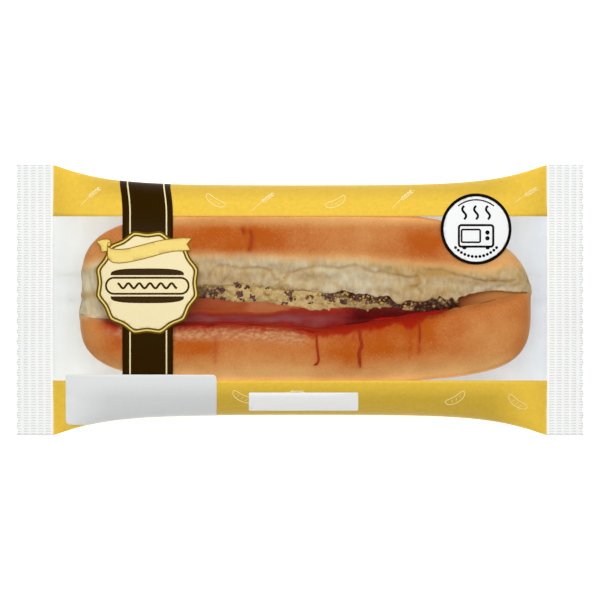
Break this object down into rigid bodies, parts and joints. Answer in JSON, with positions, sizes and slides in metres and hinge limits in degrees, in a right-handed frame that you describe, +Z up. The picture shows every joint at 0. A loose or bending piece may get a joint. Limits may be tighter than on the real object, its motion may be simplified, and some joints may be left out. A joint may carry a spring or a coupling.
{
  "type": "packaged hot dog",
  "caption": "Hot dog with sausage, grain mustard and tomato sauce, sealed in a flow-wrapped film pack with a clear window and crimped ends.",
  "frame": {"origin": "on the table under the middle of the pack", "axes": "+X along the pack from one end seal to the other, +Y across it, +Z up out of the window"},
  "size_m": [0.22, 0.105, 0.0364],
  "materials": {
    "printed_film": "gloss",
    "white_film": "satin",
    "clear_film": "gloss",
    "dark_print": "gloss",
    "cream_print": "gloss",
    "bun_crust": "satin",
    "bun_crumb": "matte",
    "sausage_skin": "satin",
    "mustard": "satin",
    "ketchup": "gloss"
  },
  "bodies": {
    "root": {"flow_pack": "printed_film"}
  },
  "joints": []
}
